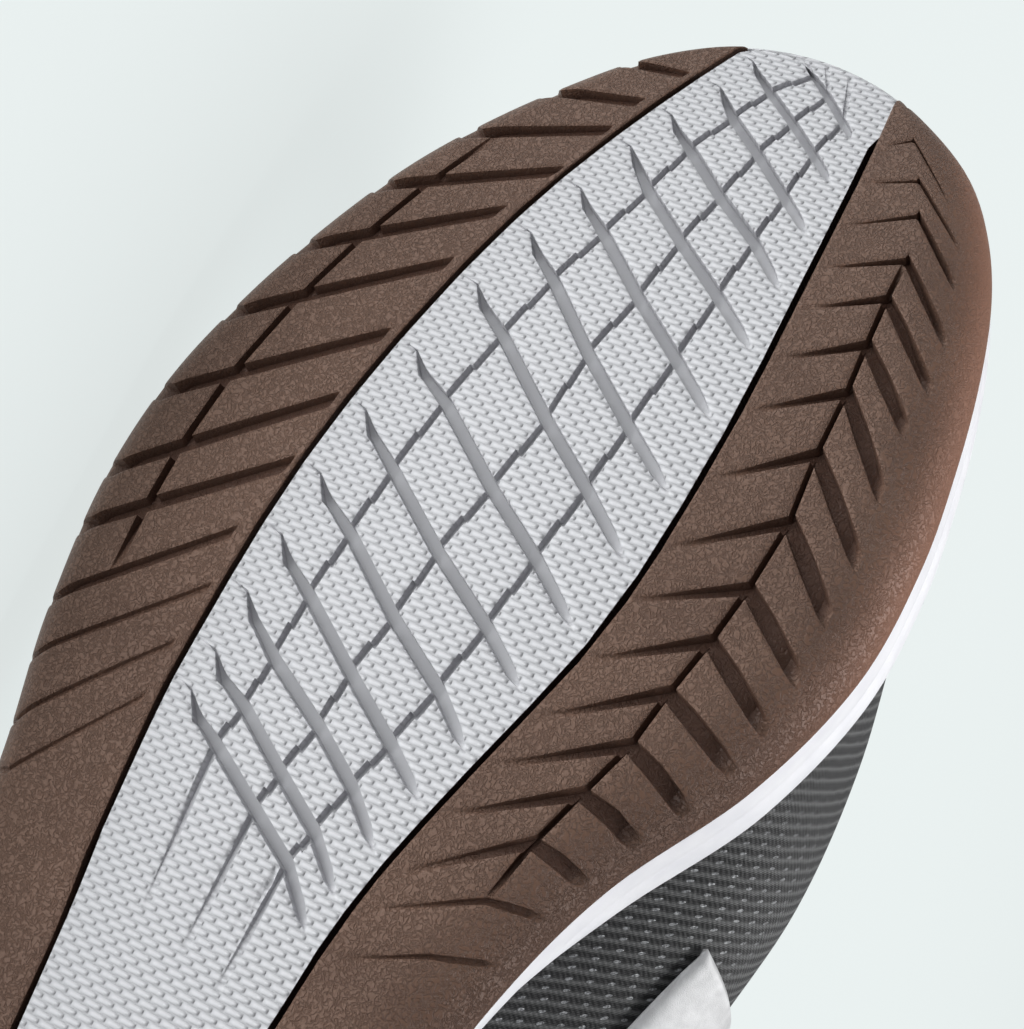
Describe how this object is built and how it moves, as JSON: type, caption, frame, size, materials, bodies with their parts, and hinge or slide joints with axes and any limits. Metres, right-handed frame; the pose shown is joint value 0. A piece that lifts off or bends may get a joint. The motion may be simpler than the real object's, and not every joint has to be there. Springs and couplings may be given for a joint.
{
  "type": "indoor soccer shoe",
  "caption": "Right indoor soccer shoe lying on its outer side: gum and white sole with lugs, white midsole, black mesh upper.",
  "frame": {"origin": "bottom centre of the bounding box, on the floor under the lying shoe", "axes": "X along the shoe with the toe towards -X, the sole faces -Y, the shoe's inner side faces +Z"},
  "size_m": [0.2938, 0.1138, 0.1122],
  "materials": {
    "gum_rubber": "fine leathery grain, half matt",
    "white_rubber": "small woven-look pads, half matt",
    "white_foam": "smooth moulded foam",
    "black_mesh": "ribbed open mesh",
    "lining": "soft knit",
    "black_overlay": "smooth coated",
    "white_overlay": "smooth coated",
    "lace": "flat woven"
  },
  "bodies": {
    "root": {"outsole_gum": "gum_rubber", "outsole_centre": "white_rubber", "midsole": "white_foam", "insole": "lining", "upper": "black_mesh", "tongue": "lining", "toe_guard": "black_overlay", "heel_counter": "black_overlay", "eyestay": "black_overlay", "side_panel_inner": "white_overlay", "side_panel_outer": "white_overlay", "collar_cuff": "lining", "heel_tab": "black_overlay", "laces": "lace"}
  },
  "joints": []
}
